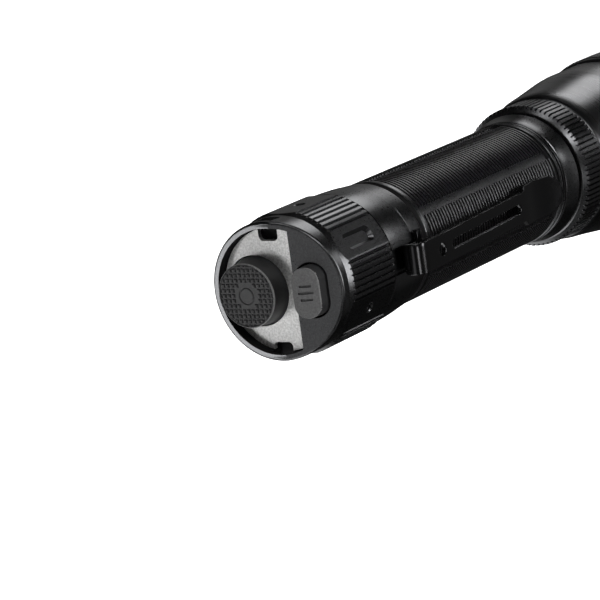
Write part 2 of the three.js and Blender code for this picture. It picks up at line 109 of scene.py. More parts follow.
def from_sixth(angle, middle=0.0):
    """Degrees from the nearest of six directions, one of which is at middle."""
    return (angle - middle + 30) % 60 - 30


def slant_depth(y):
    """How deep the slanted half's plane is at y."""
    return (-SLANT_START - y) * SLANT


# Mesh helpers


def new_object(name, verts, faces):
    mesh = bpy.data.meshes.new(name)
    mesh.from_pydata([tuple(v) for v in verts], [], faces)
    obj = bpy.data.objects.new(name, mesh)
    bpy.context.scene.collection.objects.link(obj)
    return obj


def soften(obj, angle=28.0):
    """Smooth shading, with sharp edges where faces meet at more than an angle."""
    mesh = bmesh.new()
    mesh.from_mesh(obj.data)
    bmesh.ops.remove_doubles(mesh, verts=mesh.verts, dist=WELD)
    bmesh.ops.dissolve_degenerate(mesh, edges=mesh.edges, dist=WELD)
    bmesh.ops.recalc_face_normals(mesh, faces=mesh.faces)
    limit = math.radians(angle)
    for face in mesh.faces:
        face.smooth = True
    for edge in mesh.edges:
        edge.smooth = edge.is_manifold and edge.calc_face_angle(0.0) < limit
    mesh.to_mesh(obj.data)
    mesh.free()
    return obj


def weighted(obj):
    modifier = obj.modifiers.new("flat_faces_first", "WEIGHTED_NORMAL")
    modifier.keep_sharp = True
    modifier.weight = 80
    return obj


def ring_faces(rings, count, closed=False):
    """Faces between rings of count points each. Closed joins the last ring to the first."""
    faces = []
    for i in range(rings if closed else rings - 1):
        a, b = i * count, ((i + 1) % rings) * count
        faces += [(a + j, a + (j + 1) % count, b + (j + 1) % count, b + j) for j in range(count)]
    return faces


def revolve(name, rows, angles, shape=None, closed=True):
    """A body turned about the light's axis. rows: [radius, depth]; shape changes the radii."""
    radius, depth = np.array(rows, float).T
    turn = np.radians(np.asarray(angles, float))
    r = np.tile(radius[:, None], (1, len(turn)))
    if shape is not None:
        r = shape(r, depth[:, None], np.degrees(turn)[None, :])
    x = r * np.sin(turn) * MM
    y = r * np.cos(turn) * MM
    z = np.tile((TAIL - depth * MM)[:, None], (1, len(turn)))
    verts = np.stack([x, y, z], -1).reshape(-1, 3)
    return soften(new_object(name, verts.tolist(), ring_faces(*r.shape, closed)))


def even(count):
    return np.arange(count) * 360.0 / count


def filled(marks, step):
    """These angles, with more between them wherever a gap is wider than a step."""
    marks = np.unique(np.round(np.mod(marks, 360.0), 3))
    angles = []
    for here, there in zip(marks, np.append(marks[1:], marks[0] + 360)):
        parts = max(1, math.ceil((there - here) / step))
        angles += [here + (there - here) * k / parts for k in range(parts)]
    return np.array(angles)


def prism(name, outline, low, high):
    """An outline in X and Y, standing between two depths."""
    n = len(outline)
    verts = [(x * MM, y * MM, height(low)) for x, y in outline]
    verts += [(x * MM, y * MM, height(high)) for x, y in outline]
    faces = [tuple(range(n)), tuple(range(2 * n - 1, n - 1, -1))]
    faces += [(i, i + n, (i + 1) % n + n, (i + 1) % n) for i in range(n)]
    return soften(new_object(name, verts, faces))


def arc(cx, cy, radius, start, end, count):
    """Points on an arc, counter-clockwise angles from +X, in degrees."""
    return [
        (cx + radius * math.cos(math.radians(a)), cy + radius * math.sin(math.radians(a)))
        for a in np.linspace(start, end, count)
    ]


def rounded_box(x0, x1, y0, y1, corner, count=6):
    points = []
    for cx, cy, start in (
        (x1 - corner, y1 - corner, 0),
        (x0 + corner, y1 - corner, 90),
        (x0 + corner, y0 + corner, 180),
        (x1 - corner, y0 + corner, 270),
    ):
        points += arc(cx, cy, corner, start, start + 90, count)
    return points


def stadium(cx, cy, length, width, count=16):
    reach = (length - width) / 2
    right = arc(cx + reach, cy, width / 2, -90, 90, count)
    return right + arc(cx - reach, cy, width / 2, 90, 270, count)


def cut(obj, *cutters):
    """Takes the cutters out of the object, one after another, and removes them."""
    for cutter in cutters:
        modifier = obj.modifiers.new("cut", "BOOLEAN")
        modifier.solver = "EXACT"
        modifier.operation = "DIFFERENCE"
        modifier.object = cutter
        bpy.context.view_layer.update()
        depsgraph = bpy.context.evaluated_depsgraph_get()
        result = bpy.data.meshes.new_from_object(obj.evaluated_get(depsgraph))
        obj.modifiers.clear()
        obj.data = result
        bpy.data.objects.remove(cutter)
    return obj


def split_faces(obj):
    """Splits faces of many corners, which booleans leave, so that each one is flat."""
    mesh = bmesh.new()
    mesh.from_mesh(obj.data)
    many = [face for face in mesh.faces if len(face.verts) > 4]
    bmesh.ops.triangulate(mesh, faces=many)
    mesh.to_mesh(obj.data)
    mesh.free()
    return soften(obj)


def painted(obj, materials, chosen):
    """Gives each face the material whose number chosen(x, y, depth, normal) returns."""
    for material in materials:
        obj.data.materials.append(material)
    for face in obj.data.polygons:
        x, y, z = face.center
        face.material_index = int(chosen(x / MM, y / MM, (TAIL - z) / MM, face.normal))
    return obj


def bevel(obj, width, chosen, segments=2, angle=25.0):
    """Rounds the edges that are sharper than an angle and that chosen(middle in mm) accepts."""
    mesh = bmesh.new()
    mesh.from_mesh(obj.data)
    bmesh.ops.remove_doubles(mesh, verts=mesh.verts, dist=1e-6)
    bmesh.ops.dissolve_limit(
        mesh, angle_limit=0.01, verts=mesh.verts, edges=mesh.edges, delimit=set()
    )
    edges = []
    for edge in mesh.edges:
        if edge.is_manifold and edge.calc_face_angle(0.0) > math.radians(angle):
            middle = (edge.verts[0].co + edge.verts[1].co) / 2
            if chosen(middle.x / MM, middle.y / MM, (TAIL - middle.z) / MM):
                edges.append(edge)
    bmesh.ops.bevel(
        mesh,
        geom=edges,
        offset=width * MM,
        offset_type="OFFSET",
        segments=segments,
        profile=0.5,
        affect="EDGES",
        clamp_overlap=True,
    )
    mesh.to_mesh(obj.data)
    mesh.free()
    return obj


# Materials


def shader(name):
    material = bpy.data.materials.new(name)
    material.use_nodes = True
    return material, material.node_tree, material.node_tree.nodes["Principled BSDF"]


def link(tree, source, target):
    tree.links.new(source, target)


def coordinates(tree, scale=1000.0, turned=False):
    """The place on the object, in millimetres. Turned, it is distance from the axis and depth."""
    place = tree.nodes.new("ShaderNodeTexCoord").outputs["Object"]
    if turned:
        flat = tree.nodes.new("ShaderNodeVectorMath")
        flat.operation = "MULTIPLY"
        flat.inputs[1].default_value = (1, 1, 0)
        link(tree, place, flat.inputs[0])
        reach = tree.nodes.new("ShaderNodeVectorMath")
        reach.operation = "LENGTH"
        link(tree, flat.outputs[0], reach.inputs[0])
        parts = tree.nodes.new("ShaderNodeSeparateXYZ")
        link(tree, place, parts.inputs[0])
        joined = tree.nodes.new("ShaderNodeCombineXYZ")
        link(tree, reach.outputs["Value"], joined.inputs[0])
        link(tree, parts.outputs[2], joined.inputs[2])
        place = joined.outputs[0]
    mapping = tree.nodes.new("ShaderNodeMapping")
    mapping.inputs["Scale"].default_value = (scale, scale, scale)
    link(tree, place, mapping.inputs["Vector"])
    return mapping.outputs["Vector"]


def noise(tree, place, scale, detail=3.0, roughness=0.55):
    node = tree.nodes.new("ShaderNodeTexNoise")
    node.inputs["Scale"].default_value = scale
    node.inputs["Detail"].default_value = detail
    node.inputs["Roughness"].default_value = roughness
    link(tree, place, node.inputs["Vector"])
    return node.outputs["Fac"]


def ramp(tree, value, low, high, start=0.3, end=0.7):
    node = tree.nodes.new("ShaderNodeMapRange")
    node.inputs["From Min"].default_value = start
    node.inputs["From Max"].default_value = end
    node.inputs["To Min"].default_value = low
    node.inputs["To Max"].default_value = high
    link(tree, value, node.inputs["Value"])
    return node.outputs["Result"]


def tint(tree, value, dark, light):
    node = tree.nodes.new("ShaderNodeMix")
    node.data_type = "RGBA"
    node.inputs["A"].default_value = (*dark, 1)
    node.inputs["B"].default_value = (*light, 1)
    link(tree, value, node.inputs["Factor"])
    return node.outputs["Result"]


def bump(tree, shader_node, value, depth):
    node = tree.nodes.new("ShaderNodeBump")
    node.inputs["Distance"].default_value = depth * MM
    node.inputs["Strength"].default_value = 1.0
    link(tree, value, node.inputs["Height"])
    link(tree, node.outputs["Normal"], shader_node.inputs["Normal"])


def surface(
    name,
    color,
    rough,
    metal=0.0,
    spread=0.12,
    grain=9.0,
    grain_depth=0.004,
    rough_spread=0.05,
    turned=False,
    specular=0.5,
    patches=0.09,
    coat=0.0,
    sheen=0.0,
):
    """A finish with broad patches of tone, uneven gloss and a fine grain."""
    material, tree, node = shader(name)
    place = coordinates(tree)
    broad = noise(tree, place, patches, 4.0)
    fine_place = coordinates(tree, turned=True) if turned else place
    fine = noise(tree, fine_place, grain, 2.0, 0.7)
    mixed = tree.nodes.new("ShaderNodeMath")
    mixed.operation = "ADD"
    link(tree, ramp(tree, broad, 0.0, 0.35), mixed.inputs[0])
    link(tree, ramp(tree, fine, 0.0, 0.65), mixed.inputs[1])
    dark = tuple(c * (1 - spread) for c in color)
    light = tuple(min(1.0, c * (1 + spread)) for c in color)
    link(tree, tint(tree, mixed.outputs[0], dark, light), node.inputs["Base Color"])
    gloss = ramp(tree, mixed.outputs[0], rough - rough_spread, rough + rough_spread, 0.0, 1.0)
    link(tree, gloss, node.inputs["Roughness"])
    node.inputs["Metallic"].default_value = metal
    node.inputs["Specular IOR Level"].default_value = specular
    node.inputs["Coat Weight"].default_value = coat
    node.inputs["Sheen Weight"].default_value = sheen
    bump(tree, node, fine, grain_depth)
    return material


anodised = surface(
    "hard_anodised", (0.1, 0.101, 0.104), 0.3, metal=1.0, grain=2.8, grain_depth=0.008, spread=0.3
)
anodised_turned = surface(
    "hard_anodised_turned", (0.1, 0.101, 0.104), 0.29,
    metal=1.0, grain=3.5, grain_depth=0.002, turned=True,
)
# Near-black paint that stands in for shade. It is painted into grooves, gaps, walls and wells, where
# shade falls.
painted_recess_shade = surface(
    "painted_recess_shade", (0.008, 0.008, 0.0085), 0.75, grain=4.5, spread=0.3, specular=0.2
)
# A lighter rubber painted on the keys' rounded edges as a thin highlight line.
rubber_painted_highlight = surface(
    "rubber_painted_highlight", (0.22, 0.22, 0.22), 0.6, grain=2.6, grain_depth=0.01, spread=0.3
)
satin_steel = surface(
    "satin_steel", (0.57, 0.57, 0.565), 0.56, metal=1.0, grain=2.6, grain_depth=0.045, spread=0.4
)
bezel_steel = surface(
    "bezel_steel", (0.12, 0.121, 0.124), 0.25, metal=0.95, grain=8, grain_depth=0.001, turned=True
)
boot_rubber = surface(
    "boot_rubber", (0.021, 0.021, 0.022), 0.5, grain=2.6, grain_depth=0.02, spread=0.35, sheen=0.05
)
mode_rubber = surface(
    "mode_rubber", (0.12, 0.12, 0.121), 0.55, grain=2.6, grain_depth=0.025, spread=0.35, sheen=0.05
)
clip_steel = surface(
    "black_spring_steel", (0.055, 0.055, 0.057), 0.2, metal=0.95, grain=6, grain_depth=0.001
)
# A lighter steel painted on the clip slot's lower wall as a highlight line.
clip_painted_highlight = surface(
    "spring_steel_painted_highlight", (0.3, 0.3, 0.31), 0.35, metal=0.95, grain=6, grain_depth=0.001
)
screw_steel = surface(
    "black_screw", (0.04, 0.04, 0.042), 0.25, metal=0.9, grain=9, grain_depth=0.001
)
inner_plastic = surface("inner_plastic", (0.03, 0.03, 0.032), 0.55)
black_plastic = surface("switch_plastic", (0.015, 0.015, 0.016), 0.45)
white_plastic = surface("white_plastic", (0.72, 0.71, 0.68), 0.5, spread=0.04)
board_mask = surface("board_mask", (0.02, 0.11, 0.055), 0.35, specular=0.6, coat=0.3)
board_white = surface("white_board_mask", (0.7, 0.69, 0.66), 0.4, spread=0.05)
brass = surface("plated_brass", (0.72, 0.52, 0.2), 0.24, metal=1.0, grain_depth=0.001)
plain_alloy = surface("plain_alloy", (0.55, 0.55, 0.56), 0.34, metal=1.0, turned=True)
seal_rubber = surface("seal_rubber", (0.012, 0.012, 0.012), 0.45, grain=12)
cell_sleeve = surface(
    "cell_sleeve", (0.03, 0.09, 0.24), 0.3, specular=0.5, grain_depth=0.001, coat=0.4
)
cell_steel = surface("cell_steel", (0.6, 0.6, 0.6), 0.3, metal=1.0)
mirror_coat = surface(
    "reflector_coat", (0.88, 0.88, 0.89), 0.07, metal=1.0, spread=0.02, rough_spread=0.02,
    grain_depth=0.0005,
)


def glass(name, color, rough):
    material, tree, node = shader(name)
    place = coordinates(tree)
    gloss = ramp(tree, noise(tree, place, 0.3, 3.0), rough, rough + 0.03)
    link(tree, gloss, node.inputs["Roughness"])
    cloud = noise(tree, place, 0.05, 2.0)
    lighter = tuple(min(1.0, c * 1.03) for c in color)
    link(tree, tint(tree, cloud, color, lighter), node.inputs["Base Color"])
    node.inputs["Transmission Weight"].default_value = 1.0
    node.inputs["IOR"].default_value = 1.47
    node.inputs["Coat Weight"].default_value = 0.3
    return material


lens_glass = glass("lens_glass", (0.93, 0.96, 0.97), 0.0)


def phosphor():
    material, tree, node = shader("led_phosphor")
    place = coordinates(tree)
    grains = noise(tree, place, 12.0, 2.0)
    link(tree, tint(tree, grains, (0.78, 0.66, 0.12), (0.9, 0.8, 0.3)), node.inputs["Base Color"])
    node.inputs["Roughness"].default_value = 0.25
    node.inputs["Coat Weight"].default_value = 1.0
    bump(tree, node, grains, 0.002)
    return material


led_phosphor = phosphor()


def finish(obj, body, material, slot, *nodes):
    """Gives a piece its material when one is given, joins it to its body and hides the CAD nodes it
    stands for. Its slot is not used.
    """
    if material is not None:
        obj.data.materials.clear()
        obj.data.materials.append(material)
    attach(obj, body)
    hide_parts(*nodes)
    return obj


# Barrel


def barrel():
    """The grooved barrel with its six smooth strips, and a neck at each end, the one under the
    tailcap threaded.
    """
    rows = [
        (THREAD_RADIUS, 35.32), (11.95, 35.3), (12.05, 35.42), (12.62, 36.32), (12.7, 36.52),
        (12.7, 37.0),
    ]
    half = GROOVE_PITCH / 2
    wall = [(-0.42, 0.0), (-0.35, 0.03), (-0.29, 0.09), (-0.24, 0.2), (-0.2, 0.45), (-0.16, 0.85)]
    wall.append((-0.12, 1.0))
    wave = wall + [(-step, share) for step, share in wall[::-1]]
    for i in range(GROOVES):
        middle = GROOVES_START + half + i * GROOVE_PITCH
        for step, share in wave:
            rows.append((BODY_RADIUS - GROOVE_DEPTH * share, middle + step))
        rows.append((BODY_RADIUS + 0.005, middle + half))
    end = GROOVES_END
    rows += [
        (12.7, end + 0.15), (12.62, end + 0.28), (12.4, end + 0.34), (12.4, 89.3), (12.78, 89.38),
        (12.86, 89.46), (12.86, 89.6), (12.6, 89.66), (12.6, 89.8), (12.84, 89.86), (12.9, 89.94),
        (12.9, 90.1), (12.84, 90.17), (11.4, 90.2), (11.4, 94.0), (10.65, 94.1), (10.65, 95.3),
        (11.4, 95.4), (11.4, 97.2), (11.0, 97.6), (9.7, 97.6), (9.7, 23.4), (10.9, 23.4),
    ]
    rows += [(11.42, float(depth)) for depth in np.arange(23.9, 31.6, 0.125)]
    rows += [
        (11.4, 32.6), (11.32, 32.68), (10.65, 32.72), (10.65, 33.88), (11.32, 33.92), (11.4, 34.0),
    ]

    def shape(radius, depth, angle):
        away = np.abs(from_sixth(angle, STRIP_ANGLE))
        side = np.clip((STRIP_HALF + 0.3 - away) / 0.45, 0, 1)
        ends = np.clip((depth - GROOVES_START + 0.1) / 0.25, 0, 1)
        ends = ends * np.clip((end + 0.1 - depth) / 0.25, 0, 1)
        outside = (radius > 12.2) & (depth > 36.6) & (depth < 88.9)
        strip = radius + (BODY_RADIUS - GROOVE_DEPTH * 0.97 - radius) * side * ends
        radius = np.where(outside, strip, radius)
        phase = (depth + angle / 360.0) % 1.0
        tooth = np.clip(np.abs(phase - 0.5) * 4 - 0.6, 0, 1)
        threaded = (depth > 23.8) & (depth < 31.6) & (radius > 11)
        run_out = np.clip((31.4 - depth) / 0.6, 0, 1)
        return np.where(threaded, THREAD_RADIUS - THREAD_DEPTH * tooth * run_out, radius)

    marks = []
    for k in range(6):
        middle = STRIP_ANGLE + 60 * k
        marks += [middle + s * w for s in (-1, 1) for w in (4.3, 4.15, 3.85, 2.0)]
    obj = revolve("barrel", rows, filled(marks, 2.2), shape)

    # Painted shade: the groove bottoms, the slope at each strip's end, the groove at the barrel's
    # end and the gaps under the tailcap and head get the near-black paint. The grooves under the
    # clip's slot keep the plain anodising.
    def dark(x, y, depth, normal):
        reach = math.hypot(x, y)
        strip = -4.12 < from_sixth(math.degrees(math.atan2(x, y)), STRIP_ANGLE) < 4.2
        under_clip = y < 0 and abs(x) < 1.6 and depth < 69
        groove = GROOVES_START < depth < end and 12 < reach < BODY_RADIUS - 0.06
        last = end - 0.2 < depth < end + 0.3 and 12 < reach < BODY_RADIUS - 0.03
        gap = reach > 11.5 and (depth < 36.3 or 90.1 < depth or end + 0.25 < depth < 89.33)
        return groove and not strip and not under_clip or last or gap

    return painted(obj, (anodised, painted_recess_shade), dark)


# Tailcap


def grip():
    """The ribbed, flatted band of the tailcap, and the plain collar behind it."""
    depths = list(np.arange(5.5, 7.31, 0.1)) + list(np.arange(7.6, 20.6, 0.65))
    depths += [20.7, 20.9, 21.0, 21.05, 21.1, 21.2, 21.3, 21.4, 21.5]
    rows = [(14.5, float(d)) for d in depths]
    rows += [
        (13.3, 21.6), (13.3, 21.86), (13.58, 21.93), (13.6, 22.2), (13.5, 25.5), (13.42, 27.2),
        (13.34, 28.7), (13.24, 30.05), (13.22, 30.15), (13.12, 30.2), (13.11, 30.3), (13.15, 30.34),
        (13.13, 30.6),
    ]
    for step in np.arange(31.0, 34.0, 0.5):
        rows.append((13.12 - (step - 31) * 0.085, float(step)))
    rows += [
        (12.82, 34.35), (12.78, 34.6), (12.68, 34.8), (12.5, 34.9), (11.85, 34.9), (11.75, 34.7),
        (11.75, 23.2), (11.3, 23.2), (11.3, 6.2), (9.0, 6.0), (9.0, 5.5),
    ]

    def shape(radius, depth, angle):
        band = (depth <= 21.55) & (radius > 14.2)
        edge = RIM_RADIUS + (depth - BEVEL_END) * 0.46
        back = 13.62 + np.clip(21.45 - depth, 0, 9) * 0.95
        away = from_sixth(angle, FLAT_ANGLE)
        flat = FLAT_DISTANCE / np.cos(np.radians(away))
        group = from_sixth(angle, RIB_GROUP_ANGLE)
        nearest = np.clip(np.round(group / RIB_PITCH), -3, 3) * RIB_PITCH
        off = np.abs(group - nearest)
        run_out = 0.33 * np.clip((7.5 - depth) / 0.9, 0, 1)
        flute = 13.48 + 0.6 * np.clip((off - 0.5) / 1.05, 0, 1) + run_out
        corner = np.where(np.abs(away) < 15.5, flat, 99.0)
        outer = np.minimum(np.minimum(edge, back), np.minimum(corner, RIB_RADIUS))
        outer = np.minimum(outer, flute)
        outer = np.where(depth > 21.45, np.minimum(outer, 13.3), outer)
        return np.where(band, outer, radius)

    across = (0.0, 0.3, 0.48, 0.55, 0.8, 1.05, 1.25, 1.34, 1.42, 2.0)
    marks = []
    for k in range(6):
        for flute in range(-3, 4):
            middle = RIB_GROUP_ANGLE + 60 * k + flute * RIB_PITCH
            marks += [middle + s * w for s in (-1, 1) for w in across]
        marks += [FLAT_ANGLE + 60 * k + s for s in (-13.5, -13.1, -12.7, 12.7, 13.1, 13.5)]
    obj = revolve("tailcap_grip", rows, filled(marks, 2.0), shape)
    split_faces(cut(obj, *grip_cutters()))

    # Painted shade: the gaps at the collar's ends, the pocket's walls that face one way and the
    # flute floors get the near-black paint.
    def dark(x, y, depth, normal):
        reach = math.hypot(x, y)
        gap = 34.7 < depth < 35.5 or 21.47 < depth < 21.95 and reach < 13.5
        turn = math.radians(FLAT_ANGLE)
        across = x * math.cos(turn) - y * math.sin(turn)
        out = x * math.sin(turn) + y * math.cos(turn)
        facing = normal.x * math.cos(turn) - normal.y * math.sin(turn)
        near_pocket = abs(across) < 2.5 and out > 0 and 9 < depth < 18.2 and reach < 13.9
        flute_floor = reach < 13.66 and 6.6 < depth < 20.8 and abs(flute_offset(x, y)) < 0.62
        return gap or near_pocket and facing > 0.25 or flute_floor

    return painted(obj, (anodised, painted_recess_shade), dark)


def flute_offset(x, y):
    """Degrees from the nearest flute of the grip's ribs."""
    group = from_sixth(math.degrees(math.atan2(x, y)), RIB_GROUP_ANGLE)
    return group - max(-3, min(3, round(group / RIB_PITCH))) * RIB_PITCH


def side_cutter(name, outline, angle, near, far, flare=0.0, flare_from=None):
    """A prism pointing out from the axis. Its outline is [across, depth], and it may flare."""
    levels = [(near, 0.0)]
    if flare_from is not None:
        levels.append((flare_from, 0.0))
    levels.append((far, flare))
    turn = math.radians(angle)
    out = Vector((math.sin(turn), math.cos(turn), 0))
    across = Vector((math.cos(turn), -math.sin(turn), 0))
    points = np.array(outline)
    middle = (points.min(0) + points.max(0)) / 2
    half = (points.max(0) - points.min(0)) / 2
    verts = []
    for distance, grow in levels:
        scale = (half + grow) / half
        for a, d in (points - middle) * scale + middle:
            place = out * distance + across * a
            verts.append((place.x * MM, place.y * MM, height(d)))
    n = len(outline)
    faces = [tuple(range(n)), tuple(range(len(verts) - 1, len(verts) - n - 1, -1))]
    for level in range(len(levels) - 1):
        for i in range(n):
            a, b = level * n + i, level * n + (i + 1) % n
            faces.append((a, b, b + n, a + n))
    return soften(new_object(name, verts, faces))


def grip_cutters():
    """A pocket on one flat, dimples on the others, and the clip's channel, notch and screw hole."""
    cutters = []
    pocket = [(across, depth) for depth, across in stadium(13.6, 0, 8.2, 2.1, 30)]
    cutters.append(side_cutter("cut_pocket", pocket, FLAT_ANGLE, 12.8, 15, 1.7))
    for k in range(1, 6):
        dimple = arc(0, 13.5, 0.95, 0, 350, 28)
        cutters.append(side_cutter("cut_dimple", dimple, FLAT_ANGLE + 60 * k, 13.05, 15, 1.9, 13.4))
    channel = [(-2.6, 21.75), (2.6, 21.75), (2.6, 36), (-2.6, 36)]
    cutters.append(side_cutter("cut_channel", channel, CHANNEL_ANGLE, 12.5, 15))
    notch = rounded_box(-4.8, 4.8, 30.3, 32.3, 0.25, 4)
    cutters.append(side_cutter("cut_notch", notch, CHANNEL_ANGLE, 12.6, 15))
    screw = arc(0, CLIP_SCREW, 1.1, 0, 350, 20)
    cutters.append(side_cutter("cut_screw", screw, CHANNEL_ANGLE, 11.95, 13))
    return cutters


def crown():
    """The tail's end: a rim, a slanted half, a recess for the plate, and lanyard slots."""
    rows = [(0, 0), (RIM_RADIUS, 0), (RIM_RADIUS, 2.75), (RIM_RADIUS, BEVEL_END), (0, BEVEL_END)]
    obj = revolve("tailcap_crown", rows, even(180), closed=False)
    far = -20.0
    side = [(-SLANT_START, 0.0), (-SLANT_START, -4.0), (far, -4.0), (far, slant_depth(far))]
    verts = [(x * MM, y * MM, height(d)) for x in (-20, 20) for y, d in side]
    faces = [(0, 1, 2, 3), (7, 6, 5, 4)]
    faces += [(i, i + 4, (i + 1) % 4 + 4, (i + 1) % 4) for i in range(4)]
    slant = soften(new_object("cut_slant", verts, faces))
    lean = math.degrees(math.asin(4.35 / RECESS_RADIUS))
    recess = prism("cut_recess", arc(0, 0, RECESS_RADIUS, -lean, 180 + lean, 120), -4, 3.3)
    button = prism("cut_button", arc(*BUTTON, BUTTON_HOLE, 0, 357, 96), -4, 7)
    mode = prism("cut_mode", stadium(*MODE, 10.7, 6.1, 32), -4, 7)
    slots = []
    for low, high in ((LANYARD_RIGHT, 16), (-16, LANYARD_LEFT)):
        outline = rounded_box(low, high, *LANYARD_Y, LANYARD_CORNER)
        slots.append(prism("cut_lanyard", outline, 1.15, 4.3))
    cut(obj, slant, recess, button, mode, *slots)

    def outer(x, y, depth):
        return math.hypot(x, y) > 13.3 and depth < BEVEL_END - 0.4 and slanted_edge(y, depth)

    bevel(obj, 0.5, outer, segments=6)

    def rest(x, y, depth):
        reach = math.hypot(x, y)
        return depth < 3.2 and (reach < 12.4 or (reach > 13.2 and depth > 0.9))

    bevel(obj, 0.09, rest, segments=2, angle=50)
    soften(obj, 35)

    # Painted shade: the recess wall, the lanyard slots, the mode key's well and the floor under the
    # plate get the near-black paint.
    def dark(x, y, depth, normal):
        reach = math.hypot(x, y)
        wall = reach < 12.2 and depth > 0.12 and abs(normal.z) < 0.5
        slot = depth > 1.2 and reach < 13.25 and LANYARD_Y[0] - 0.1 < y < LANYARD_Y[1] + 0.1
        along = x - MODE[0]
        from_key = math.hypot(along - max(-2.3, min(2.3, along)), y - MODE[1])
        well = from_key < 3.12 and abs(normal.z) < 0.5
        floor = 2 < depth < 4.6 and reach < 12.4 and y > -4.3
        return wall or slot or well or floor

    return painted(obj, (anodised, painted_recess_shade), dark)


def slanted_edge(y, depth):
    """Whether a place on the rim is at the end of the tail, on its flat or its slanted half."""
    return abs(depth - max(0.0, slant_depth(y))) < 0.15


def plate():
    """The plate in the recess, with a hole for the boot and two notches at the lanyard slots."""
    lean = math.degrees(math.asin(4.2 / PLATE_RADIUS))
    outline = arc(0, 0, PLATE_RADIUS, -lean, 180 + lean, 120)
    obj = prism("switch_plate_satin", outline, PLATE_DEPTH, PLATE_DEPTH + PLATE_THICKNESS)
    hole = prism("cut_button", arc(*BUTTON, BUTTON_HOLE, 0, 357, 96), 1, 5)
    notches = []
    for low, high in ((-15, LANYARD_LEFT), (LANYARD_RIGHT, 15)):
        outline = rounded_box(low, high, *LANYARD_Y, LANYARD_CORNER)
        notches.append(prism("cut_notch", outline, 1, 5))
    cut(obj, hole, *notches)
    bevel(obj, 0.08, lambda x, y, depth: depth < 2.3, segments=2, angle=50)
    return soften(obj, 35)


def tactical_boot():
    """A rubber boot whose face has small square studs round a plain middle with a ring in it."""
    top, reach = -1.72, 5.8
    pitch, stud_height, stud_half = 0.98, 0.28, 0.36
    studs_from, studs_to = 2.3, 6.2
    ring_radius, ring_depth = 1.55, 0.12
    step = 0.098
    count = int(math.ceil(reach / step)) + 1
    line = np.arange(-count, count + 1) * step
    gx, gy = np.meshgrid(line, line)
    px = np.abs((gx + pitch / 2) % pitch - pitch / 2)
    py = np.abs((gy + pitch / 2) % pitch - pitch / 2)
    edge = np.maximum(px, py)
    raised = np.clip((stud_half - edge) / 0.1, 0, 1)
    cx = np.round(gx / pitch) * pitch
    cy = np.round(gy / pitch) * pitch
    spot = np.hypot(cx, cy)
    raised = raised * (spot > studs_from) * (spot < studs_to)
    far = np.hypot(gx, gy)
    ring = np.clip(1.6 - np.abs(far - ring_radius) / 0.11, 0, 1)
    lift = stud_height * raised - ring_depth * ring
    depth = top - lift
    inside = far <= reach
    numbers, verts, faces = {}, [], []

    def vertex(i, j):
        """The number of a grid point; one outside the face is pulled in to its edge."""
        if (i, j) not in numbers:
            x, y = gx[i, j], gy[i, j]
            r = math.hypot(x, y)
            d = depth[i, j]
            if r > reach:
                x, y, d = x * reach / r, y * reach / r, top
            numbers[i, j] = len(verts)
            verts.append(((BUTTON[0] + x) * MM, (BUTTON[1] + y) * MM, height(d)))
        return numbers[i, j]

    n = len(line)
    for i in range(n - 1):
        for j in range(n - 1):
            if inside[i : i + 2, j : j + 2].any():
                corners = ((i, j), (i, j + 1), (i + 1, j + 1), (i + 1, j))
                faces.append(tuple(vertex(*corner) for corner in corners))
    obj = new_object("tactical_boot_rubber", verts, faces)
    mesh = bmesh.new()
    mesh.from_mesh(obj.data)
    bmesh.ops.remove_doubles(mesh, verts=mesh.verts, dist=2e-5)
    skirt = [
        (5.86, -1.82), (5.95, -1.88), (6.06, -1.86), (6.14, -1.78), (6.19, -1.66), (6.22, -1.48),
        (6.27, -0.8), (6.33, 0.2), (6.42, 1.3), (6.52, 1.9), (6.66, 2.15), (6.72, 2.4), (6.72, 3.1),
    ]
    loop = [e for e in mesh.edges if e.is_boundary]
    for radius, level in skirt:
        made = bmesh.ops.extrude_edge_only(mesh, edges=loop)["geom"]
        for v in (g for g in made if isinstance(g, bmesh.types.BMVert)):
            x, y = v.co.x / MM - BUTTON[0], v.co.y / MM - BUTTON[1]
            scale = radius / math.hypot(x, y)
            v.co = ((BUTTON[0] + x * scale) * MM, (BUTTON[1] + y * scale) * MM, height(level))
        loop = [g for g in made if isinstance(g, bmesh.types.BMEdge)]
    bmesh.ops.edgeloop_fill(mesh, edges=loop)
    mesh.to_mesh(obj.data)
    mesh.free()
    soften(obj, 32)

    # Painted highlight: the boot's rounded face edge gets the lighter rubber, a thin bright line all
    # round.
    def painted_highlight_edge(x, y, depth, normal):
        reach = math.hypot(x - BUTTON[0], y - BUTTON[1])
        return depth < -1.45 and reach > 5.97 and 0.1 < normal.z < 0.95

    return painted(obj, (boot_rubber, rubber_painted_highlight), painted_highlight_edge)


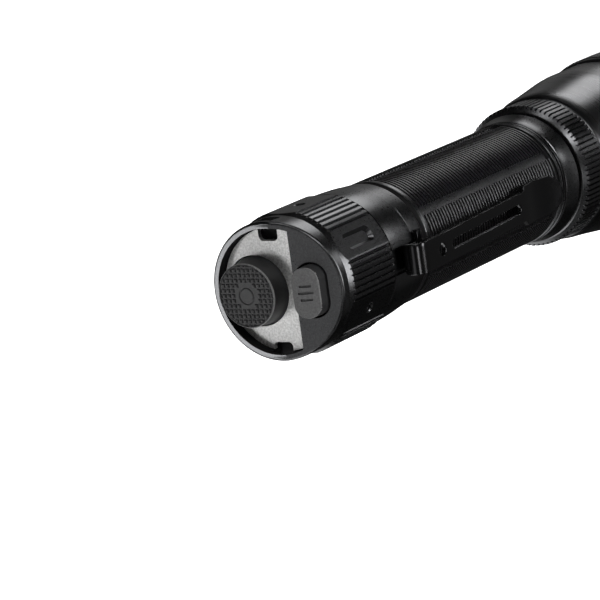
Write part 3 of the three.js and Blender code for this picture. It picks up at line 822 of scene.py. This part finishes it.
def mode_button():
    """The mode switch's key, its face parallel to the slant, with three engraved bars."""
    base = 6.4
    rows = [
        (5.05, 9.75, base), (5.2, 9.9, 3.0), (5.12, 9.82, 1.4), (5.02, 9.72, 0.4),
        (4.99, 9.69, 0.2), (4.93, 9.63, 0.09), (4.84, 9.54, 0.025), (4.72, 9.42, 0.0),
    ]
    verts = []
    for width, length, below in rows:
        for x, y in stadium(*MODE, length, width, 36):
            level = base if below == base else min(slant_depth(y) - MODE_HEIGHT + below, base)
            verts.append((x * MM, y * MM, height(level)))
    n = len(verts) // len(rows)
    faces = ring_faces(len(rows), n)
    faces.append(tuple(range(n)))
    faces.append(tuple(range((len(rows) - 1) * n, len(rows) * n)))
    obj = soften(new_object("mode_key_rubber", verts, faces))
    for k in (-1, 0, 1):
        x, reach = MODE[0] + 1.3 * k, 1.45 - 0.3 * abs(k)
        bar = rounded_box(x - 0.23, x + 0.23, MODE[1] - reach, MODE[1] + reach, 0.2)
        verts = [(x * MM, y * MM, height(slant_depth(y) - MODE_HEIGHT + 0.35)) for x, y in bar]
        verts += [(x * MM, y * MM, height(-6)) for x, y in bar]
        m = len(bar)
        sides = [(i, (i + 1) % m, (i + 1) % m + m, i + m) for i in range(m)]
        ends = [tuple(range(m)), tuple(range(2 * m - 1, m - 1, -1))]
        cut(obj, soften(new_object("cut_bar", verts, ends + sides)))
    soften(obj, 35)
    upward = Vector((0, -SLANT, 1)).normalized()

    # Painted light: the rounded edge of the face gets the lighter rubber as a painted highlight, and
    # the side walls get the darker boot rubber as painted shade.
    def chosen(x, y, depth, normal):
        near_face = depth < slant_depth(y) - MODE_HEIGHT + 0.3
        return 2 if near_face and 0.3 < normal.dot(upward) < 0.9 else normal.z < 0.25

    return painted(obj, (mode_rubber, boot_rubber, rubber_painted_highlight), chosen)


# Clip


def clip_line():
    """The middle of the clip's strip, as [depth, distance out]."""
    line = [(CLIP_START, 13.35), (30.0, 13.35)]
    for angle in np.linspace(270, 90, BEND_POINTS):
        turn = math.radians(angle)
        line.append((CLIP_BEND + 2.1 * math.cos(turn), 15.45 + 2.1 * math.sin(turn)))
    knots = [
        (CLIP_BEND, 17.55), (48.5, 16.5), (66, 15.44), (69.5, 15.2), (74.6, 14.7), (79.0, 14.95),
    ]
    knots = np.array(knots + [(CLIP_END, 16.3)])
    for depth in np.arange(CLIP_BEND + 1.6, CLIP_END + 0.01, 0.6):
        line.append((float(depth), float(smooth_through(knots, depth))))
    return np.array(line)


def smooth_through(knots, at):
    """The height at a place of a smooth curve through the knots."""
    x, y = knots.T
    slope = np.diff(y) / np.diff(x)
    tangent = np.concatenate([[slope[0]], (slope[1:] + slope[:-1]) / 2, [slope[-1]]])
    i = int(np.clip(np.searchsorted(x, at) - 1, 0, len(x) - 2))
    h = x[i + 1] - x[i]
    t = (at - x[i]) / h
    a = (1 + 2 * t) * (1 - t) ** 2 * y[i] + t * t * (3 - 2 * t) * y[i + 1]
    return a + h * (t * (1 - t) ** 2 * tangent[i] + t * t * (t - 1) * tangent[i + 1])


def pocket_clip():
    """One strip of spring steel, cut flat to its outline and then bent along its line."""
    line = clip_line()
    steps = np.hypot(*np.diff(line, axis=0).T)
    along = np.concatenate([[0], np.cumsum(steps)])
    blade = BEND_POINTS + 1

    def place_of(depth):
        """How far along the strip a depth on the blade is."""
        return float(np.interp(depth, line[blade:, 0], along[blade:]))

    ears0, ears1 = CLIP_START - 32.0, CLIP_START - 30.6
    shoulder = place_of(69.5)
    end = along[-1]
    half, paddle, tab = 3.0, 4.0, 2.3
    widen = along[2] + 1.2
    side = [
        (0.25, tab - 0.25), (ears0, tab), (ears0, 4.4), (ears1, 4.4), (ears1, tab), (widen, tab),
        (widen + 0.9, half), (shoulder - 0.7, half), (shoulder - 0.35, half + 0.2),
        (shoulder, paddle - 0.25), (shoulder + 0.3, paddle), (end - 5.0, paddle),
    ]
    for turn in np.radians(np.linspace(6, 90, 15)):
        side.append((end - 5.0 + 5.0 * math.sin(turn), paddle * math.cos(turn) ** 0.8))
    outline = side + [(s, -w) for s, w in side[::-1][1:]]
    slot_start, slot_end = place_of(37), place_of(67.2)
    slot = stadium((slot_start + slot_end) / 2, 0, slot_end - slot_start, 1.9, 10)
    hole = arc(place_of(CLIP_SCREW), 0, 1.25, 0, 345, 24)
    screw = arc(CLIP_START - CLIP_SCREW, 0, 1.0, 0, 345, 24)
    curve = bpy.data.curves.new("clip_flat", "CURVE")
    curve.dimensions = "2D"
    curve.fill_mode = "BOTH"
    curve.extrude = 0.33
    curve.bevel_depth = 0.12
    curve.bevel_resolution = 2
    curve.offset = -0.12
    for points in (outline, slot, hole, screw):
        spline = curve.splines.new("POLY")
        spline.points.add(len(points) - 1)
        for point, (x, y) in zip(spline.points, points):
            point.co = (x, y, 0, 1)
        spline.use_cyclic_u = True
    flat = bpy.data.objects.new("clip_flat", curve)
    bpy.context.scene.collection.objects.link(flat)
    bpy.context.view_layer.update()
    depsgraph = bpy.context.evaluated_depsgraph_get()
    mesh = bpy.data.meshes.new_from_object(flat.evaluated_get(depsgraph))
    bpy.data.objects.remove(flat)
    work = bmesh.new()
    work.from_mesh(mesh)
    bmesh.ops.remove_doubles(work, verts=work.verts, dist=1e-4)
    bend_end = along[blade + 1]
    bend_cuts, blade_cuts = np.linspace(4.0, bend_end + 1, 34), np.arange(bend_end + 1.8, end, 1.2)
    for place in np.concatenate([bend_cuts, blade_cuts]):
        everything = work.verts[:] + work.edges[:] + work.faces[:]
        bmesh.ops.bisect_plane(
            work, geom=everything, plane_co=(float(place), 0, 0), plane_no=(1, 0, 0), dist=1e-5
        )
    tangent = np.gradient(line, along, axis=0)
    tangent /= np.hypot(*tangent.T)[:, None]
    for v in work.verts:
        s, w, t = v.co
        depth = np.interp(s, along, line[:, 0])
        out = np.interp(s, along, line[:, 1])
        td, to = np.interp(s, along, tangent[:, 0]), np.interp(s, along, tangent[:, 1])
        size = math.hypot(td, to)
        nd, no = -to / size, td / size
        v.co = (w * MM, -(out + no * t) * MM, height(depth + nd * t))
    work.to_mesh(mesh)
    work.free()
    obj = bpy.data.objects.new("pocket_clip_spring", mesh)
    bpy.context.scene.collection.objects.link(obj)
    soften(obj, 30)

    # Painted light: the slot's lower wall gets the lighter steel as a painted highlight, and the
    # paddle's shoulder gets the near-black paint as painted shade over its highlight.
    def chosen(x, y, depth, normal):
        shoulder = x < -2.9 and 68.6 < depth < 70.4 and normal.z > 0.35
        slot_highlight = abs(x) < 1.2 and 38 < depth < 66 and normal.x > 0.6
        return 2 if shoulder else slot_highlight

    return painted(obj, (clip_steel, clip_painted_highlight, painted_recess_shade), chosen)


def clip_screw():
    """A round-headed screw with a hexagonal socket. rows: [radius, distance out]."""
    rows = [
        (0, 14.62), (0.62, 14.62), (0.75, 14.7), (0.78, 14.86), (1.0, 14.9), (1.45, 14.86),
        (1.66, 14.7), (1.7, 14.5), (1.7, 14.12), (1.6, 14.05), (0.75, 14.05), (0.75, 12.2),
        (0, 12.2),
    ]
    turn = even(36)
    verts = []
    for radius, out in rows:
        for a in turn:
            reach = radius
            if 14.6 < out < 14.88 and radius < 0.8:
                reach = 0.78 * math.cos(math.radians(30)) / math.cos(math.radians((a % 60) - 30))
                reach = min(reach, radius * 1.15)
            x, d = reach * math.cos(math.radians(a)), reach * math.sin(math.radians(a))
            verts.append((x * MM, -out * MM, height(CLIP_SCREW + d)))
    return soften(new_object("clip_screw_black", verts, ring_faces(len(rows), len(turn))), 30)


# Head


def head():
    """The head: a ring with a groove, a fluted band and a cone that widens to the bezel."""
    rows = [
        (11.85, 90.7), (12.72, 90.7), (12.88, 90.78), (12.9, 90.95), (12.82, 91.07), (12.3, 91.12),
        (12.3, 91.55), (12.78, 91.62), (12.93, 91.75), (12.97, 91.95), (13.03, 92.6), (13.2, 93.6),
        (13.42, 94.6), (13.62, 95.3), (13.68, 95.55), (13.6, 95.7), (13.4, 95.75), (12.4, 95.85),
        (12.3, 96.0), (12.3, 96.6), (12.4, 96.75), (13.6, 96.8),
    ]
    for start, stop, step in ((96.86, 98.3, 0.12), (98.6, 104.3, 0.5), (104.3, 105.0, 0.1)):
        rows += [(15.0, float(depth)) for depth in np.arange(start, stop, step)]
    rows += [
        (15.04, 105.03), (15.14, 105.12), (15.4, 105.75), (15.62, 106.4), (15.78, 107.1),
        (15.93, 108), (16.12, 110), (16.32, 112), (16.55, 114), (16.8, 116), (17.06, 118.2),
        (17.28, 120), (17.42, 121.6), (17.5, 123), (17.5, 124), (17.5, 132.6), (17.42, 132.95),
        (17.2, 133.2), (16.6, 133.2), (16.6, 127.4), (16.0, 127.4), (9.6, 112.4), (9.6, 110.2),
        (3, 110.2), (3, 104.4), (10.8, 104.4), (10.8, 98.2), (11.75, 98.2), (11.75, 90.8),
    ]

    def shape(radius, depth, angle):
        band = (depth > FLUTED_START) & (depth < FLUTED_END)
        chamfer = 13.75 + (depth - FLUTED_START) * 1.15
        off = np.abs((angle * FLUTES / 360.0 + 0.5) % 1.0 - 0.5) * 360.0 / FLUTES
        floor = 14.45 + 0.62 * np.clip((off - 0.4) / 0.5, 0, 1)
        floor = floor + np.clip(depth - 104.35, 0, 1) * 1.2
        outer = np.minimum(np.minimum(15.0, chamfer), floor)
        return np.where(band & (radius > 14.5), outer, radius)

    marks = []
    for i in range(FLUTES):
        middle = i * 360.0 / FLUTES
        marks += [middle + s for s in (-1.0, -0.85, -0.42, 0, 0.42, 0.85, 1.0)]
    obj = revolve("head_shell", rows, filled(marks, 1.3), shape)

    # Painted shade: the flute floors, the inside and the gap at the ring's groove get the near-black
    # paint.
    def chosen(x, y, depth, normal):
        reach = math.hypot(x, y)
        flute_floor = 98.2 < depth < 104.9 and 14.2 < reach < 14.72
        gap = reach < 12.66 and depth < 97 or 95.7 < depth < 96.7
        return 2 if flute_floor or gap else depth > FLUTED_END

    return painted(obj, (anodised, anodised_turned, painted_recess_shade), chosen)


def bezel():
    """The ring at the front, with six shallow scallops in its face."""
    rows = [
        (15.65, 128.4), (16.3, 128.4), (16.3, 133.5), (17.5, 133.5), (17.95, 133.85),
        (18.05, 134.2), (18.05, 134.9), (18.12, 135.05), (18.25, 135.2), (18.25, 142.9),
        (18.18, 143.2), (17.75, 143.85), (17.55, 143.98), (17.4, 144), (15.85, 144),
        (15.65, 143.92), (15.55, 143.75), (14.68, 136.75), (14.6, 136.55), (14.6, 135.3),
        (14.68, 135.2), (15.65, 135.2),
    ]
    obj = revolve("bezel_ring_steel", rows, even(144))
    cutters = []
    for k in range(6):
        round_cut = arc(0, SCALLOP_DEPTH, SCALLOP_RADIUS, 0, 357, 64)
        cutters.append(side_cutter("cut_scallop", round_cut, k * 60, 10, 20))
    cut(obj, *cutters)
    bevel(obj, 0.16, scalloped, segments=2, angle=30)
    return soften(obj, 30)


def scalloped(x, y, depth):
    """Whether a place is on the edge of a scallop."""
    reach = math.hypot(x, y)
    away = abs(from_sixth(math.degrees(math.atan2(x, y))))
    across = reach * math.sin(math.radians(away))
    on_edge = abs(math.hypot(across, depth - SCALLOP_DEPTH) - SCALLOP_RADIUS) < 0.12
    return depth > 142 and 14 < reach < 18.4 and on_edge


def reflector():
    """A parabolic bowl with a thin wall and a rim."""
    inside, outside = [], []
    back, front = 113.7, 131.2
    for t in np.linspace(0, 1, 40):
        depth = back + (front - back) * t
        radius = math.sqrt(7 * (depth - back + 1.7)) * 1.2
        inside.append((radius, depth))
        outside.append((radius + 0.9, depth))
    rows = inside + [(15.35, front), (15.4, front - 0.05), (15.4, front - 0.9)] + outside[::-1][3:]
    return revolve("reflector_bowl", rows, even(128))


def lens():
    rows = [(0, 131.5), (15.1, 131.5), (15.3, 131.7), (15.3, 133.5), (15.1, 133.7), (0, 133.7)]
    return revolve("lens_disc", rows, even(128), closed=False)


def led():
    return prism("led_package", rounded_box(-2.5, 2.5, -2.5, 2.5, 0.2), 112.1, 112.9)


def led_dome():
    rows = [(0, 112.92), (1.95, 112.92)]
    for turn in np.linspace(0, 90, 14):
        angle = math.radians(turn)
        rows.append((1.95 * math.cos(angle), 112.95 + 1.2 * math.sin(angle)))
    return revolve("led_dome_clear", rows, even(48), closed=False)


def torus(name, radius, section, depth):
    rows = [
        (radius + section / 2 * math.cos(a), depth + section / 2 * math.sin(a))
        for a in np.linspace(0, 2 * math.pi, 17)[:-1]
    ]
    return revolve(name, rows, even(96))


finish(barrel(), "light", None, "anodised_alloy", "body_tube")
finish(grip(), "tailcap", None, "anodised_alloy", "tailcap_housing")
weighted(finish(crown(), "tailcap", None, "anodised_alloy", "tailcap_housing"))
weighted(finish(plate(), "tailcap", satin_steel, "satin_steel", "switch_plate"))
finish(tactical_boot(), "tactical_button", None, "boot_rubber", "tactical_boot")
weighted(finish(mode_button(), "mode_key", None, "mode_rubber", "mode_button"))
weighted(finish(pocket_clip(), "tailcap", None, "clip_steel", "pocket_clip"))
finish(clip_screw(), "tailcap", screw_steel, "screw_steel", "clip_screw")
finish(head(), "light", None, "anodised_alloy", "head_housing")
weighted(finish(bezel(), "light", bezel_steel, "satin_steel", "bezel_ring"))
finish(reflector(), "light", mirror_coat, "reflector_coat", "reflector")
finish(lens(), "light", lens_glass, "lens_glass", "lens")
finish(led(), "light", board_white, "led_dome", "led_emitter")
finish(led_dome(), "light", led_phosphor, "led_dome", "led_emitter")
for node, radius, section, depth in (
    ("tail_o_ring", 11.2, 0.84, 33.3),
    ("head_o_ring", 11.2, 0.84, 94.7),
    ("lens_gasket", 14.75, 1.0, 134.5),
):
    finish(torus(node + "_round", radius, section, depth), "light", seal_rubber, "seal_rubber", node)

kept = {
    "tactical_plunger": inner_plastic,
    "switch_carrier": inner_plastic,
    "led_spacer": white_plastic,
    "tactical_switch_stem": white_plastic,
    "mode_switch_stem": white_plastic,
    "tactical_switch": black_plastic,
    "mode_switch": black_plastic,
    "switch_board": board_mask,
    "driver_board": board_mask,
    "led_board": board_white,
    "tail_spring_seat": brass,
    "tail_spring": brass,
    "positive_spring": brass,
    "driver_ring": brass,
    "switch_retaining_ring": plain_alloy,
    "battery_cell": cell_sleeve,
    "cell_negative_plate": cell_steel,
    "cell_positive_cap": cell_steel,
}
for name, material in kept.items():
    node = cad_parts[name]
    node.data.materials.clear()
    node.data.materials.append(material)

# Studio: a pale floor that curves up into a wall, a camera, and soft lights.


def studio():
    """A round floor that curves up into a wall, in metres."""
    floor, curve, top, below = 1.6, 0.8, 3.2, 0.00005
    rows = [(0.0, 0.0), (floor, 0.0)]
    for turn in np.linspace(0, 90, 13):
        angle = math.radians(turn)
        rows.append((floor + curve * math.sin(angle), curve - curve * math.cos(angle)))
    rows.append((floor + curve, top))
    turn = np.radians(even(96))
    verts = [(r * math.sin(a), r * math.cos(a), z - below) for r, z in rows for a in turn]
    obj = new_object("studio_sweep", verts, ring_faces(len(rows), len(turn)))
    mesh = bmesh.new()
    mesh.from_mesh(obj.data)
    bmesh.ops.remove_doubles(mesh, verts=mesh.verts, dist=1e-6)
    bmesh.ops.recalc_face_normals(mesh, faces=mesh.faces)
    for face in mesh.faces:
        face.smooth = True
        if face.normal.z < -0.5:
            face.normal_flip()
    mesh.to_mesh(obj.data)
    mesh.free()
    material, tree, node = shader("pale_floor")
    place = coordinates(tree, scale=1.0)
    cloud = noise(tree, place, 3.0, 2.0)
    link(tree, tint(tree, cloud, (0.93, 0.93, 0.93), (0.95, 0.95, 0.95)), node.inputs["Base Color"])
    node.inputs["Roughness"].default_value = 1.0
    node.inputs["Specular IOR Level"].default_value = 0.0
    obj.data.materials.append(material)
    obj.visible_glossy = False
    obj.visible_diffuse = False
    obj.visible_transmission = False
    obj.visible_shadow = False
    return obj


# One light is for the floor alone, and the others are for everything but the floor.
sweep = studio()
apart = bpy.data.collections.new("stage_only")
apart.objects.link(sweep)
others = bpy.data.collections.new("all_but_stage")
others.objects.link(sweep)


def softbox(name, direction, spread, radiance, receivers=others):
    """A soft light that the lens doesn't see. spread: its half angles in degrees."""
    distance, middle = 1.5, Vector((0, 0, 0.1))
    width, length = (2 * distance * math.tan(math.radians(half)) for half in spread)
    lamp = bpy.data.lights.new(name, "AREA")
    lamp.shape = "RECTANGLE"
    lamp.size, lamp.size_y = width, length
    lamp.energy = math.pi * width * length * radiance
    obj = bpy.data.objects.new(name, lamp)
    bpy.context.scene.collection.objects.link(obj)
    away = Vector(direction).normalized()
    facing = away.to_track_quat("Z", "Y").to_matrix()
    obj.matrix_world = Matrix.Translation(middle + away * distance) @ facing.to_4x4()
    obj.visible_camera = False
    obj.light_linking.receiver_collection = receivers


softbox("key_tail", (-0.23, 0.6, 0.765), (7, 7), 10.0)
softbox("overhead", (-0.2, 0.03, 0.98), (10, 10), 0.65)
softbox("wide_left", (-0.72, 0.2, 0.63), (18, 18), 3.0)
softbox("side_narrow", (0.62, 0.09, -0.78), (11, 6), 4.3)
softbox("side_back", (0.28, 0.52, -0.807), (10, 10), 0.18)
softbox("side_low", (0.28, 0.24, -0.93), (6, 6), 1.7)
softbox("side_high", (0.93, -0.05, 0.35), (7, 7), 6.0)
softbox("clip_side", (0.13, -0.98, -0.13), (16, 5), 13.0)
softbox("clip_high", (-0.2, -0.7, 0.68), (5, 5), 5.0)
softbox("clip_low", (0.29, -0.6, -0.745), (5, 5), 5.6)
softbox("front_right", (0.55, -0.58, 0.6), (6, 6), 14.0)
softbox("clip_dim", (-0.2, -0.55, -0.81), (25, 25), 0.05)
softbox("back_left", (-0.8, -0.6, 0.2), (14, 14), 0.3)
softbox("back_side", (-0.85, 0.5, -0.15), (16, 24), 1.6)
softbox("back_far", (0.12, 0.98, -0.15), (10, 24), 1.6)
softbox("stage_light", (0, 0, 1), (45, 45), 5.0, receivers=apart)
others.collection_objects[0].light_linking.link_state = "EXCLUDE"

world = bpy.data.worlds.new("studio_air")
world.use_nodes = True
world.node_tree.nodes["Background"].inputs["Color"].default_value = (1, 1, 1, 1)
world.node_tree.nodes["Background"].inputs["Strength"].default_value = 0.008
bpy.context.scene.world = world

# A long lens that looks down along the light from its tail, with the clip's side towards it.
camera = bpy.data.cameras.new("camera")
camera.lens = 203.2
camera.sensor_width = 36.0
camera.clip_start = 0.01
camera_object = bpy.data.objects.new("camera", camera)
bpy.context.scene.collection.objects.link(camera_object)
right = Vector((-0.13790, -0.83314, -0.53559))
up = Vector((0.96842, 0.0, -0.24934))
back = Vector((0.20774, -0.55306, 0.80683))
pose = Matrix((right, up, back)).transposed().to_4x4()
pose.translation = Vector((0.1286, -0.3522, 0.6493))
camera_object.matrix_world = pose
bpy.context.scene.camera = camera_object
bpy.context.scene.view_settings.view_transform = "Standard"
